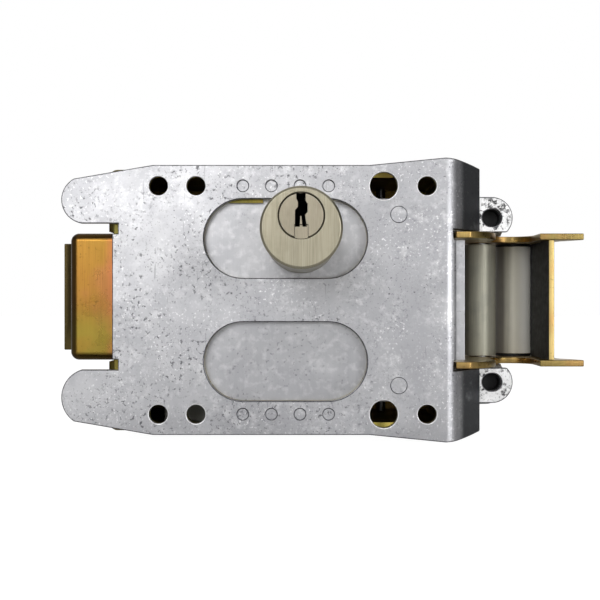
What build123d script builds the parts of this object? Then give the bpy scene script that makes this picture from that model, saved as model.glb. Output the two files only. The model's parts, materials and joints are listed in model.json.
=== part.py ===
from build123d import *
import os
from math import acos, asin, cos, degrees, radians, sin

os.makedirs("parts", exist_ok=True)

# Electric rim lock with a rotary hook. X runs along the lock towards the hook, Z is up, and
# Y is depth: the gate touches the base plate at Y = 0 and the case stands on the +Y side.

# Sheets
plate_t = 2.5
case_t = 2.0
panel_t = 2.0
cover_t = 1.5
bracket_t = 2.0
claw_t = 2.3
handle_t = 2.0

# Clearances
run_gap = 0.05
slip_gap = 0.3
hook_gap = 0.4

# Base plate
plate_left = -65.0
plate_half = 46.7
ear_tip = -82.6
ear_corner = (-78.3, 42.0)
ear_shoulder = (-54.0, 46.2)
ear_root = -75.7
notch_half = 25.3
relief_in = 2.0
relief_down = 3.5
wing_half = 49.3
wing_end_half = 46.9
wing_rise_from = 24.0
wing_start = 50.5
wing_bend = 5.6
wing_angle = 52.0
wing_length = 15.5
wing_gap = 0.7
slot_left = 53.2
plate_right = 54.4

# Holes of the base plate
hole_row = 39.5
gate_hole = 6.5
gate_left = -49.0
gate_right = 44.0
spare_hole = 6.5
spare_at = -36.0
bolt_hole = 9.6
bolt_at = 29.0
dimple_d = 3.8
dimple_first = -19.8
dimple_pitch = 9.9
dimple_count = 4
dimple_deep = 0.7
rivet_d = 6.0
rivet_at = (34.2, 29.6)
window_length = 56.6
window_height = 27.4
window_at = (-5.0, 21.3)
sight_strip = (-27.0, -12.9)
sight_strip_w = 1.2

# Case and cover
case_left = -66.8
case_right = 52.4
case_half = 45.6
case_rim = 65.0
case_corner = 3.0
cover_overlap = 14.0
cover_gap = 0.2
cover_corner = 3.5
cover_screw_at = (-46.0, 32.0)
cover_screw_d = 3.5
cover_head_d = 7.0
cover_head_t = 2.2
gland_at = (-52.0, 38.0)
gland_hole = 12.0
gland_bore = 6.0
gland_rim = 16.0

# Mechanism panel
panel_half = 35.5
panel_left = -60.0
panel_step = 49.4
panel_right = 57.7

# Hook
pivot = (69.0, 44.0)
pivot_d = 8.0
sleeve_d = 12.0
claw_inside = 21.5
bar_short = 1.0
swing = 60.0
hub_r = 20.5
rim_r = 24.0
jaw_left = 54.1
jaw_tip_right = 58.8
flank_mid = (66.6, 6.2)
flank_end = (70.2, 15.0)
mouth_floor = 35.0
mouth_right = 85.8
mouth_corner = 7.4
lobe_front = 13.4
lobe_end = 101.5
lobe_back = (95.6, 25.0)
lobe_root = (91.6, 44.0)
bar_at = (82.8, 50.0)
bar_d = 14.0
bar_boss = 9.2
bar_tenon = 8.0
web_left = 88.9
web_t = 2.0
web_back = 49.0
tenon_from = 20.0
tenon_to = 28.0

# Pawl
pawl_pin = (37.5, 57.3)
pawl_pin_d = 6.0
pawl_hub_r = 5.2
pawl_t = 2.0
pawl_outside = 18.5
nose_angle = 195.0
nose_size = 5.0
nose_short = 0.1
pawl_drop = 8.0
pawl_lift = 5.0
link_at = (35.5, 24.0)
link_d = 4.0
link_eye_r = 4.2
nose_eye_r = 4.4

# Hinge brackets
washer_t = 0.5
bracket_foot = 10.0
pivot_eye_r = 8.0
pawl_eye_r = 6.5
ear_front = 16.5
ear_hole_at = (69.1, 29.6)
ear_r = 7.5
ear_hole_w = 7.0
ear_hole_h = 6.2
ear_neck = 73.0
ear_left = 57.0
bracket_rivet_at = (30.0, 43.0)
bracket_rivet_d = 4.0
ear_nut_w = 11.0
ear_nut_t = 7.0
ear_nut_deep = 5.0
ear_nut_thread = 6.6

# Claw spring
torsion_mean = 13.2
torsion_wire = 1.3
torsion_turns = 5.25
leg_hole_r = 12.5
leg_hole_angle = 60.0
torsion_pitch = 1.75

# Solenoid
solenoid_left = -52.0
solenoid_right = -18.0
solenoid_half = 13.5
yoke_t = 3.0
yoke_ear = 7.4
yoke_screw_out = 3.3
yoke_screw_r = 1.5
yoke_screw_head_r = 2.8
coil_d = 26.0
bobbin_bore = 13.2
bobbin_wall = 1.0
bobbin_flange_t = 1.5
plunger_d = 13.0
core_face = -40.0
core_gap = 3.6
plunger_end = -4.0
collar_d = 19.0
collar_t = 2.0
rod_d = 6.0
fork_left = 26.0
fork_right = 39.5
fork_half = 6.0
fork_high = 5.5
return_mean = 15.8
return_wire = 1.2
return_turns = 5

# Release handle
handle_z = 1.2
handle_front = 8.0
handle_half = 22.4
handle_left = -81.2
handle_bend = 2.9
handle_back = 30.0
handle_web_end = -64.0
lip_left = -87.2
lip_half = 19.6
strap_from = -48.0
strap_half = 5.0
strap_end = 41.0
strap_slot_back = 8.0
cam_tab_at = -17.0

# Handle spring
pull_mean = 3.6
pull_wire = 0.8
pull_turns = 12
pull_z = -16.6
pull_left = -58.0
pull_post = -14.0
post_d = 2.6

# Lock cylinder
cylinder_at = (0.4, 22.0)
cylinder_d = 25.3
cylinder_front = -50.0
plug_rise = 3.6
plug_d = 14.3
plug_length = 34.0
stem_d = 8.6
boss_d = 16.0
boss_end = 12.0
nut_d = 30.0
nut_t = 4.0
cam_hub_d = 10.0
cam_reach = 11.0
cam_t = 3.0
clip_d = 12.0
clip_t = 1.0
key_width = 3.6
key_height = 10.0
key_deep = 28.0
key_groove_w = 4.0
key_groove_deep = 0.8

# Terminal block
block_at = (-40.0, 24.0)
block_size = (18.0, 12.0, 10.0)
block_poles = 2
block_pitch = 8.0

# Depths that follow from the sheets
case_y = plate_t
panel_y = case_y + case_t
floor_y = panel_y + panel_t
cover_y = case_rim
cover_screw_depth = case_rim - cover_overlap / 2

# Heights that follow from the hook's two plates
claw_outside = claw_inside + claw_t
sleeve_half = claw_inside - slip_gap
bar_half = claw_inside - bar_short
nose_reach = claw_outside - nose_short
tongue_half = claw_inside - hook_gap
wing_inner = claw_outside + wing_gap
bracket_inside = claw_outside + washer_t + 2 * run_gap
bracket_outside = bracket_inside + bracket_t
boss_z = cylinder_at[1] + plug_rise
nose_r = rim_r + slip_gap + nose_size / 2
nose_centre = (
    pivot[0] + nose_r * cos(radians(nose_angle)),
    pivot[1] + nose_r * sin(radians(nose_angle)),
)


def at_depth(y):
    """Sketch plane parallel to the gate; local x and y are the lock's X and Z."""
    return Plane.XZ.offset(-y)


def at_height(z):
    return Plane.XY.offset(z)


def finish(piece, name):
    piece.part.label = name
    export_step(piece.part, f"parts/{name}.step")


def mirrored(name, upper_part):
    """The lower piece of a pair, mirrored in the plane Z = 0."""
    lower = mirror(upper_part, about=Plane.XY)
    lower.label = name
    export_step(lower, f"parts/{name}.step")


def both(x, z):
    return [(x, z), (x, -z)]


# Base plate: blanked outline, two bent wings, windows and half-shear dimples
wing_turn = radians(wing_angle)
wing_centre = (wing_start, wing_bend)


def wing_point(radius, along):
    """A point of the bent wing's section, on the given bend radius and past the bend."""
    x = wing_centre[0] + radius * sin(wing_turn) + along * cos(wing_turn)
    y = wing_centre[1] - radius * cos(wing_turn) + along * sin(wing_turn)
    return (x, y)


def on_bend(radius, turn):
    """A point of the front bend's section at this radius and angle."""
    return (wing_centre[0] + radius * sin(turn), wing_centre[1] - radius * cos(turn))


wing_tip = wing_point(wing_bend, wing_length)
inner_bend = wing_bend - plate_t

with BuildPart() as wing:
    with BuildSketch(at_height(wing_inner)):
        with BuildLine():
            Line((wing_start, 0), (wing_start, plate_t))
            ThreePointArc((wing_start, plate_t), on_bend(inner_bend, wing_turn / 2), wing_point(inner_bend, 0))
            Line(wing_point(inner_bend, 0), wing_point(inner_bend, wing_length))
            Line(wing_point(inner_bend, wing_length), wing_tip)
            Line(wing_tip, wing_point(wing_bend, 0))
            ThreePointArc(wing_point(wing_bend, 0), on_bend(wing_bend, wing_turn / 2), (wing_start, 0))
        make_face()
    extrude(amount=wing_half - wing_inner)
    with BuildSketch(at_depth(0)):
        with BuildLine():
            ThreePointArc(
                (wing_start, wing_half),
                ((wing_start + wing_tip[0]) / 2, wing_half - (wing_half - wing_end_half) / 3),
                (wing_tip[0], wing_end_half),
            )
            Polyline(
                (wing_tip[0], wing_end_half),
                (wing_tip[0] + 1, wing_end_half),
                (wing_tip[0] + 1, wing_half + 1),
                (wing_start, wing_half + 1),
                (wing_start, wing_half),
            )
        make_face()
    extrude(amount=-2 * wing_length, mode=Mode.SUBTRACT)

with BuildPart() as base_plate:
    with BuildSketch(at_depth(0)):
        with BuildLine():
            for side in (1, -1):
                notch = side * notch_half + handle_z
                relief = side * (notch_half - relief_down) + handle_z
                Polyline(
                    (plate_left, handle_z),
                    (plate_left, relief),
                    (plate_left + relief_in, relief),
                    (plate_left + relief_in, notch),
                    (ear_root, notch),
                )
                ThreePointArc(
                    (ear_root, notch),
                    (ear_tip, side * (abs(notch) + ear_corner[1]) / 2),
                    (ear_corner[0], side * ear_corner[1]),
                )
                Polyline(
                    (ear_corner[0], side * ear_corner[1]),
                    (ear_shoulder[0], side * ear_shoulder[1]),
                    (ear_shoulder[0] + case_corner, side * plate_half),
                    (wing_rise_from, side * plate_half),
                    (wing_start, side * wing_half),
                    (wing_start, 0),
                )
        make_face()
    extrude(amount=-plate_t)
    add(wing.part)
    add(mirror(wing.part, about=Plane.XY, mode=Mode.PRIVATE))
    for reach, half in ((slot_left, wing_inner), (plate_right, tongue_half)):
        turn = asin((reach - wing_start) / wing_bend)
        with BuildSketch(at_height(-half)):
            with BuildLine():
                Line((wing_start, 0), (wing_start, plate_t))
                ThreePointArc((wing_start, plate_t), on_bend(inner_bend, turn / 2), on_bend(inner_bend, turn))
                Line(on_bend(inner_bend, turn), on_bend(wing_bend, turn))
                ThreePointArc(on_bend(wing_bend, turn), on_bend(wing_bend, turn / 2), (wing_start, 0))
            make_face()
        extrude(amount=2 * half)
    with BuildSketch(at_depth(0)):
        with Locations(*both(*window_at)):
            SlotOverall(window_length, window_height)
        with Locations(*both(gate_left, hole_row), *both(gate_right, hole_row)):
            Circle(gate_hole / 2)
        with Locations(*both(spare_at, hole_row)):
            Circle(spare_hole / 2)
        with Locations(*both(bolt_at, hole_row)):
            Circle(bolt_hole / 2)
        with Locations(*both(*rivet_at)):
            Circle(rivet_d / 2)
    extrude(amount=-plate_t, mode=Mode.SUBTRACT)
    dimples = [
        spot
        for turn in range(dimple_count)
        for spot in both(dimple_first + turn * dimple_pitch, hole_row)
    ]
    with BuildSketch(at_depth(0)):
        with Locations(*dimples):
            Circle(dimple_d / 2)
    extrude(amount=-dimple_deep, mode=Mode.SUBTRACT)
finish(base_plate, "base_plate")

with BuildPart() as plate_rivets:
    with BuildSketch(at_depth(0)):
        with Locations(*both(*rivet_at)):
            Circle(rivet_d / 2)
    extrude(amount=-panel_y)
finish(plate_rivets, "plate_rivets")

# Case: a pan of yellow-passivated sheet, open towards the cover
with BuildPart() as lock_case:
    with BuildSketch(at_depth(case_y)):
        with Locations(((case_left + case_right) / 2, 0)):
            Rectangle(case_right - case_left, 2 * case_half)
    extrude(amount=-(case_rim - case_y))
    fillet(lock_case.edges().filter_by(Axis.Y), radius=case_corner)
    fillet(lock_case.faces().sort_by(Axis.Y)[0].edges(), radius=case_corner - 0.2)
    offset(amount=-case_t, openings=lock_case.faces().sort_by(Axis.Y)[-1])
    with BuildSketch(at_depth(case_y)):
        with Locations(*both(*window_at)):
            SlotOverall(window_length, window_height)
        with Locations(*both(gate_left, hole_row), *both(gate_right, hole_row)):
            Circle(gate_hole / 2)
        with Locations(*both(spare_at, hole_row)):
            Circle(spare_hole / 2)
        with Locations(*both(bolt_at, hole_row)):
            Circle(bolt_hole / 2)
        with Locations(*both(*rivet_at)):
            Circle(rivet_d / 2)
        handle_way = handle_half + slip_gap
        with Locations(((case_left + plate_left) / 2 - 1, handle_z)):
            Rectangle(plate_left - case_left + 2, 2 * handle_way)
    extrude(amount=-case_t, mode=Mode.SUBTRACT)
    with BuildSketch(at_depth(case_y)):
        with Locations((sum(sight_strip) / 2, window_at[1] + window_height / 2 - sight_strip_w / 2 + 0.5)):
            Rectangle(sight_strip[1] - sight_strip[0], sight_strip_w + 1)
    extrude(amount=-case_t)
    with BuildSketch(Plane.YZ.offset(case_left)):
        with Locations(((case_y + handle_back + slip_gap) / 2, handle_z)):
            Rectangle(handle_back + slip_gap - case_y, 2 * handle_way)
    extrude(amount=case_t, mode=Mode.SUBTRACT)
    with BuildSketch(Plane.YZ.offset(case_right)):
        with Locations(((panel_y + case_rim) / 2, 0)):
            Rectangle(case_rim - panel_y, 2 * bracket_outside)
    extrude(amount=-case_t - case_corner, mode=Mode.SUBTRACT)
    with BuildSketch(at_height(-case_half)):
        with Locations(gland_at):
            Circle(gland_hole / 2)
    extrude(amount=case_t, mode=Mode.SUBTRACT)
    with BuildSketch(at_height(-case_half)):
        with Locations(*[(x, cover_screw_depth) for x in cover_screw_at]):
            Circle(cover_screw_d / 2)
    extrude(amount=2 * case_half, mode=Mode.SUBTRACT)
finish(lock_case, "lock_case")

# Mechanism panel: the galvanised sheet behind the windows; it carries everything inside
with BuildPart() as mechanism_panel:
    with BuildSketch(at_depth(panel_y)):
        with BuildLine():
            Polyline(
                (panel_left, -panel_half),
                (panel_step, -panel_half),
                (panel_step, -tongue_half),
                (panel_right, -tongue_half),
                (panel_right, tongue_half),
                (panel_step, tongue_half),
                (panel_step, panel_half),
                (panel_left, panel_half),
                close=True,
            )
        make_face()
        with Locations((cylinder_at[0], boss_z)):
            Circle(boss_d / 2 + run_gap, mode=Mode.SUBTRACT)
        with Locations(*[spot for x in bracket_rivet_at for spot in both(x, bracket_outside + 5)]):
            Circle(bracket_rivet_d / 2, mode=Mode.SUBTRACT)
    extrude(amount=-panel_t)
finish(mechanism_panel, "mechanism_panel")

# Cover: a shallow cap over the case
with BuildPart() as outer_cover:
    cap = cover_gap + cover_t
    with BuildSketch(at_depth(cover_y + cover_t)):
        with Locations(((case_left + case_right) / 2, 0)):
            Rectangle(case_right - case_left + 2 * cap, 2 * (case_half + cap))
    extrude(amount=cover_overlap + cover_t)
    fillet(outer_cover.edges().filter_by(Axis.Y), radius=case_corner + cap)
    fillet(outer_cover.faces().sort_by(Axis.Y)[-1].edges(), radius=cover_corner)
    with BuildSketch(at_depth(cover_y)):
        with Locations(((case_left + case_right) / 2, 0)):
            RectangleRounded(
                case_right - case_left + 2 * cover_gap,
                2 * (case_half + cover_gap),
                case_corner + cover_gap,
            )
    extrude(amount=cover_overlap, mode=Mode.SUBTRACT)
    with BuildSketch(Plane.YZ.offset(case_right)):
        with Locations((cover_y - cover_overlap / 2, 0)):
            Rectangle(cover_overlap, 2 * (bracket_outside + slip_gap))
    extrude(amount=2 * cap, mode=Mode.SUBTRACT)
    with BuildSketch(at_height(-case_half - cap)):
        with Locations(*[(x, cover_screw_depth) for x in cover_screw_at]):
            Circle(cover_screw_d / 2 + slip_gap)
    extrude(amount=2 * (case_half + cap), mode=Mode.SUBTRACT)
finish(outer_cover, "outer_cover")

with BuildPart() as cover_screws:
    for side in (1, -1):
        head_z = side * (case_half + cover_gap + cover_t)
        with BuildSketch(at_height(head_z)):
            with Locations(*[(x, cover_screw_depth) for x in cover_screw_at]):
                Circle(cover_head_d / 2)
        extrude(amount=side * cover_head_t)
        with BuildSketch(at_height(head_z)):
            with Locations(*[(x, cover_screw_depth) for x in cover_screw_at]):
                Circle(cover_screw_d / 2)
        extrude(amount=-side * 8)
finish(cover_screws, "cover_screws")

# Cable gland: a rubber grommet in the lower wall
with BuildPart() as cable_grommet:
    gland_plane = Plane(origin=(gland_at[0], gland_at[1], -case_half), x_dir=(1, 0, 0), z_dir=(0, -1, 0))
    with BuildSketch(gland_plane):
        with BuildLine():
            Polyline(
                (gland_bore / 2, -2.5),
                (gland_rim / 2 - 1.5, -2.5),
                (gland_rim / 2, 0),
                (gland_hole / 2, 0),
                (gland_hole / 2, case_t),
                (gland_rim / 2, case_t),
                (gland_rim / 2 - 1, case_t + 2),
                (gland_bore / 2, case_t + 2),
                close=True,
            )
        make_face()
    revolve(axis=Axis((gland_at[0], gland_at[1], 0), (0, 0, 1)))
finish(cable_grommet, "cable_grommet")


# Hook: two profiled plates, a web, a bar and a sleeve on the pivot
def polar(centre, radius, angle):
    return (centre[0] + radius * cos(radians(angle)), centre[1] + radius * sin(radians(angle)))


nose_half_angle = degrees(asin((nose_size / 2 + hook_gap) / (rim_r - 3)))
stop_angle = nose_angle + nose_half_angle + 0.4 - swing
ramp_foot = nose_angle - nose_half_angle - 0.6
ramp_top = ramp_foot - 6

with BuildPart() as claw_plate_upper:
    with BuildSketch(at_height(claw_inside)):
        with Locations(pivot):
            Circle(hub_r)
        with BuildLine():
            tip_left = (jaw_left, 0.6)
            tip_right = (jaw_tip_right, 0)
            Line(tip_left, tip_right)
            ThreePointArc(tip_right, flank_mid, flank_end)
            Line(flank_end, (flank_end[0], mouth_floor))
            Line((flank_end[0], mouth_floor), polar(pivot, hub_r, 208))
            Line(polar(pivot, hub_r, 208), tip_left)
        make_face()
        with BuildLine():
            Polyline(
                (flank_end[0], mouth_floor),
                (mouth_right, mouth_floor),
                (mouth_right, lobe_front),
                (lobe_end, lobe_front),
                (lobe_end, lobe_front + 1.6),
            )
            ThreePointArc((lobe_end, lobe_front + 1.6), (99.4, 19.6), lobe_back)
            Line(lobe_back, lobe_root)
            Polyline(lobe_root, (bar_at[0] + bar_boss, bar_at[1]), (bar_at[0], bar_at[1]), pivot)
            Line(pivot, (flank_end[0], mouth_floor))
        make_face()
        with Locations(bar_at):
            Circle(bar_boss)
        with BuildLine():
            CenterArc(pivot, rim_r, stop_angle, ramp_top - stop_angle)
            Line(polar(pivot, rim_r, ramp_top), polar(pivot, hub_r, ramp_foot))
            Line(polar(pivot, hub_r, ramp_foot), pivot)
            Line(pivot, polar(pivot, rim_r, stop_angle))
        make_face()
        with Locations(((flank_end[0] + mouth_right) / 2, mouth_floor - 15)):
            Rectangle(mouth_right - flank_end[0], 30, mode=Mode.SUBTRACT)
        with Locations(pivot):
            Circle(pivot_d / 2 + run_gap, mode=Mode.SUBTRACT)
        with Locations(bar_at):
            Circle(bar_tenon / 2, mode=Mode.SUBTRACT)
        with Locations((web_left + web_t / 2, (tenon_from + tenon_to) / 2)):
            Rectangle(web_t, tenon_to - tenon_from, mode=Mode.SUBTRACT)
        with Locations(polar(pivot, leg_hole_r, leg_hole_angle)):
            Circle(torsion_wire / 2 + slip_gap, mode=Mode.SUBTRACT)
    extrude(amount=claw_t)
    mouth_edges = claw_plate_upper.edges().filter_by(Axis.Z).filter_by(
        lambda edge: abs(edge.center().Y - mouth_floor) < 0.01
        and flank_end[0] - 0.01 < edge.center().X < mouth_right + 0.01
    )
    fillet(mouth_edges, radius=mouth_corner)
finish(claw_plate_upper, "claw_plate_upper")
mirrored("claw_plate_lower", claw_plate_upper.part)

with BuildPart() as claw_web:
    with BuildSketch(Plane.YZ.offset(web_left)):
        with Locations(((lobe_front + web_back) / 2, 0)):
            Rectangle(web_back - lobe_front, 2 * claw_inside)
        with Locations(((tenon_from + tenon_to) / 2, 0)):
            Rectangle(tenon_to - tenon_from, 2 * claw_outside)
    extrude(amount=web_t)
    with BuildSketch(at_height(-claw_inside)):
        with Locations(bar_at):
            Circle(bar_d / 2)
    extrude(amount=2 * claw_inside, mode=Mode.SUBTRACT)
finish(claw_web, "claw_web")

with BuildPart() as claw_bar:
    with BuildSketch(at_height(-bar_half)):
        with Locations(bar_at):
            Circle(bar_d / 2)
    extrude(amount=2 * bar_half)
    chamfer(claw_bar.edges().filter_by(GeomType.CIRCLE), length=0.6)
    with BuildSketch(at_height(-claw_outside)):
        with Locations(bar_at):
            Circle(bar_tenon / 2)
    extrude(amount=2 * claw_outside)
finish(claw_bar, "claw_bar")

with BuildPart() as claw_sleeve:
    with BuildSketch(at_height(-sleeve_half)):
        with Locations(pivot):
            Circle(sleeve_d / 2)
            Circle(pivot_d / 2 + run_gap, mode=Mode.SUBTRACT)
    extrude(amount=2 * sleeve_half)
finish(claw_sleeve, "claw_sleeve")

spring_top = -bracket_outside - 0.8
spring_length = torsion_turns * torsion_pitch
pin_low = spring_top - spring_length - 3.2

with BuildPart() as pivot_pin:
    with BuildSketch(at_height(pin_low)):
        with Locations(pivot):
            Circle(pivot_d / 2)
    extrude(amount=bracket_outside - pin_low)
    with BuildSketch(at_height(pin_low + 1.0)):
        with Locations(pivot):
            Circle(pivot_d / 2)
            Circle(pivot_d / 2 - 0.8, mode=Mode.SUBTRACT)
    extrude(amount=1.0, mode=Mode.SUBTRACT)
    with BuildSketch(at_height(bracket_outside)):
        with Locations(pivot):
            Circle(pivot_d / 2 + 2.5)
    extrude(amount=3.0)
    chamfer(pivot_pin.faces().sort_by(Axis.Z)[-1].edges(), length=0.8)
finish(pivot_pin, "pivot_pin")


def open_ring(centre, z, outer_r, inner_r, thick):
    """Retaining ring with a mouth on its +X side, as a solid on its own."""
    with BuildPart() as ring:
        with BuildSketch(at_height(z)):
            with Locations(centre):
                Circle(outer_r)
                Circle(inner_r, mode=Mode.SUBTRACT)
            with Locations((centre[0] + outer_r, centre[1])):
                Rectangle(2 * outer_r, inner_r, mode=Mode.SUBTRACT)
        extrude(amount=thick)
    return ring.part


with BuildPart() as pivot_ring:
    add(open_ring(pivot, pin_low + 1.0, pivot_d / 2 + 2.2, pivot_d / 2 - 0.8, 1.0))
finish(pivot_ring, "pivot_ring")

with BuildPart() as pivot_washers:
    for low in (claw_outside + run_gap, -bracket_inside + run_gap):
        with BuildSketch(at_height(low)):
            with Locations(pivot):
                Circle(pivot_d / 2 + 3)
                Circle(pivot_d / 2 + run_gap, mode=Mode.SUBTRACT)
        extrude(amount=washer_t)
finish(pivot_washers, "pivot_washers")

# Hinge brackets: each has a foot on the panel, an arm for both pins and a drilled ear
with BuildPart() as hinge_bracket_upper:
    with BuildSketch(at_height(bracket_inside)):
        with BuildLine():
            Polyline(
                (bracket_rivet_at[0] - 6, floor_y),
                (bracket_rivet_at[1] + 5.5, floor_y),
                (ear_left, ear_front),
                (ear_neck, ear_front),
                (pivot[0] + pivot_eye_r, pivot[1]),
                (pivot[0], pivot[1] + pivot_eye_r),
                (pawl_pin[0], pawl_pin[1] + pawl_eye_r),
                (pawl_pin[0] - pawl_eye_r, pawl_pin[1]),
                close=True,
            )
        make_face()
        with Locations(pivot):
            Circle(pivot_eye_r)
            Circle(pivot_d / 2 + run_gap, mode=Mode.SUBTRACT)
        with Locations(pawl_pin):
            Circle(pawl_eye_r)
            Circle(pawl_pin_d / 2 + run_gap, mode=Mode.SUBTRACT)
    extrude(amount=bracket_t)
    with BuildSketch(at_depth(floor_y)):
        with Locations((sum(bracket_rivet_at) / 2, bracket_inside + bracket_foot / 2)):
            Rectangle(bracket_rivet_at[1] - bracket_rivet_at[0] + 10, bracket_foot)
        with Locations(*[(x, bracket_outside + 5) for x in bracket_rivet_at]):
            Circle(bracket_rivet_d / 2, mode=Mode.SUBTRACT)
    extrude(amount=-bracket_t)
    with BuildSketch(at_depth(ear_front)):
        with BuildLine():
            Polyline(
                (ear_left, bracket_inside),
                (ear_neck, bracket_inside),
                (ear_neck, ear_hole_at[1]),
                (ear_hole_at[0], ear_hole_at[1] + ear_r),
                (ear_left, ear_hole_at[1] + ear_r),
                close=True,
            )
        make_face()
        with Locations(ear_hole_at):
            Circle(ear_r)
            SlotOverall(ear_hole_w, ear_hole_h, mode=Mode.SUBTRACT)
        with Locations((ear_hole_at[0], bracket_inside - ear_r)):
            Rectangle(4 * ear_r, 2 * ear_r, mode=Mode.SUBTRACT)
    extrude(amount=-bracket_t)
finish(hinge_bracket_upper, "hinge_bracket_upper")
mirrored("hinge_bracket_lower", hinge_bracket_upper.part)

# Blind clip nuts behind the ears: what shows dark through the ear holes
with BuildPart() as ear_nuts:
    for side in (1, -1):
        with BuildSketch(at_depth(ear_front + bracket_t)):
            with BuildLine():
                low = side * (bracket_outside + slip_gap)
                high = side * (ear_hole_at[1] + ear_r - 1)
                left = ear_hole_at[0] - ear_nut_w / 2
                right = ear_hole_at[0] + ear_nut_w / 2
                Polyline((left, low), (right - 2.5, low), (right, low + side * 2.5),
                         (right, high - side * 2.5), (right - 2.5, high), (left, high), close=True)
            make_face()
        extrude(amount=-ear_nut_t)
        with BuildSketch(at_depth(ear_front + bracket_t)):
            with Locations((ear_hole_at[0], side * ear_hole_at[1])):
                Circle(ear_nut_thread / 2 - 0.3)
        extrude(amount=-ear_nut_deep, mode=Mode.SUBTRACT)
finish(ear_nuts, "ear_nuts")

with BuildPart() as bracket_rivets:
    rivet_spots = [spot for x in bracket_rivet_at for spot in both(x, bracket_outside + 5)]
    with BuildSketch(at_depth(panel_y)):
        with Locations(*rivet_spots):
            Circle(bracket_rivet_d / 2)
    extrude(amount=-(panel_t + bracket_t))
    with BuildSketch(at_depth(floor_y + bracket_t)):
        with Locations(*rivet_spots):
            Circle(bracket_rivet_d * 0.85)
    extrude(amount=-1.5)
finish(bracket_rivets, "bracket_rivets")


# Springs: each is one round wire swept along a helix
def coil_wire(mean, turns, pitch, wire, start, axis_dir, x_dir):
    """A helical spring body with square ends, returned as one solid."""
    frame = Plane(origin=start, x_dir=x_dir, z_dir=axis_dir)
    path = frame * Helix(pitch=pitch, height=turns * pitch, radius=mean / 2)
    section = Plane(origin=path @ 0, z_dir=path % 0) * Circle(wire / 2)
    return sweep(section, path=path, is_frenet=True)


def rod(start, end, wire):
    """Straight round wire with a ball at each end, so that it joins the next one at any angle."""
    run = Vector(*end) - Vector(*start)
    stick = Plane(origin=start, z_dir=run) * Cylinder(
        wire / 2, run.length, align=(Align.CENTER, Align.CENTER, Align.MIN)
    )
    return stick + [Pos(*end) * Sphere(wire / 2), Pos(*start) * Sphere(wire / 2)]


def ring_about(centre, axis_dir, mean, wire):
    """A closed eye of wire round a post."""
    return Plane(origin=centre, z_dir=axis_dir) * Torus(mean / 2, wire / 2)


# The coil ends where its tangent runs to the hole in the hook plate, and its other end to the case
coil_low = spring_top - spring_length - 0.2
coil_high = coil_low + spring_length
coil_r = torsion_mean / 2
upper_turn = leg_hole_angle - degrees(acos(coil_r / leg_hole_r))
lower_turn = upper_turn - 360 * torsion_turns
torsion_coil = coil_wire(
    torsion_mean, torsion_turns, torsion_pitch, torsion_wire,
    (*pivot, coil_low), (0, 0, 1), (*polar((0, 0), 1, lower_turn), 0),
)
hole_spot = polar(pivot, leg_hole_r, leg_hole_angle)
upper_leg = [
    (*polar(pivot, coil_r, upper_turn), coil_high),
    (*hole_spot, coil_high),
    (*hole_spot, -claw_inside - 0.4),
]
lap = 0.5
lower_root = polar(pivot, coil_r, lower_turn)
lower_way = polar((0, 0), 1, lower_turn - 90)
lower_run = (case_right + torsion_wire / 2 - lower_root[0]) / lower_way[0]
lower_leg = [
    (lower_root[0] - lap * lower_way[0], lower_root[1] - lap * lower_way[1], coil_low + lap / 20),
    (lower_root[0] + lower_run * lower_way[0], lower_root[1] + lower_run * lower_way[1], coil_low),
]
torsion_rods = [
    rod(start, end, torsion_wire) for leg in (upper_leg, lower_leg) for start, end in zip(leg, leg[1:])
]
with BuildPart() as claw_spring:
    add(torsion_coil)
    add(torsion_rods)
finish(claw_spring, "claw_spring")
print("claw spring turns clear each other by", round(torsion_pitch - torsion_wire, 2))

# Pawl: a bent yoke, a hardened nose across both hook plates, and the link pin
with BuildPart() as pawl_yoke:
    with BuildSketch(at_height(pawl_outside - pawl_t)) as cheek:
        with Locations(pawl_pin):
            Circle(pawl_hub_r)
        with Locations(nose_centre):
            Circle(nose_eye_r)
        with Locations(link_at):
            Circle(link_eye_r)
        make_hull()
        with Locations(pawl_pin):
            Circle(pawl_pin_d / 2 + run_gap, mode=Mode.SUBTRACT)
        with Locations(link_at):
            Circle(link_d / 2, mode=Mode.SUBTRACT)
        with Locations(Pos(*nose_centre) * Rot(0, 0, nose_angle)):
            Rectangle(nose_size, nose_size, mode=Mode.SUBTRACT)
    extrude(amount=pawl_t)
    add(mirror(pawl_yoke.part, about=Plane.XY))
    with BuildSketch(at_height(-pawl_outside)):
        with BuildLine():
            low_y = link_at[1] + 9
            high_y = pawl_pin[1] - 6
            left_low = link_at[0] - link_eye_r + 0.5
            Polyline(
                (left_low, low_y),
                (left_low + 2, low_y),
                (left_low + 2.8, high_y),
                (left_low + 0.8, high_y),
                close=True,
            )
        make_face()
    extrude(amount=2 * pawl_outside)
finish(pawl_yoke, "pawl_yoke")

with BuildPart() as pawl_nose:
    with BuildSketch(at_height(-nose_reach)):
        with Locations(Pos(*nose_centre) * Rot(0, 0, nose_angle)):
            Rectangle(nose_size, nose_size)
    extrude(amount=2 * nose_reach)
    chamfer(pawl_nose.edges().filter_by(Axis.Z).sort_by(Axis.X)[-2:], length=0.6)
finish(pawl_nose, "pawl_nose")

with BuildPart() as link_pin:
    with BuildSketch(at_height(handle_z - handle_half - 0.5)):
        with Locations(link_at):
            Circle(link_d / 2)
    extrude(amount=2 * (handle_half + 0.5))
    chamfer(link_pin.edges().filter_by(GeomType.CIRCLE), length=0.4)
finish(link_pin, "link_pin")

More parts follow.
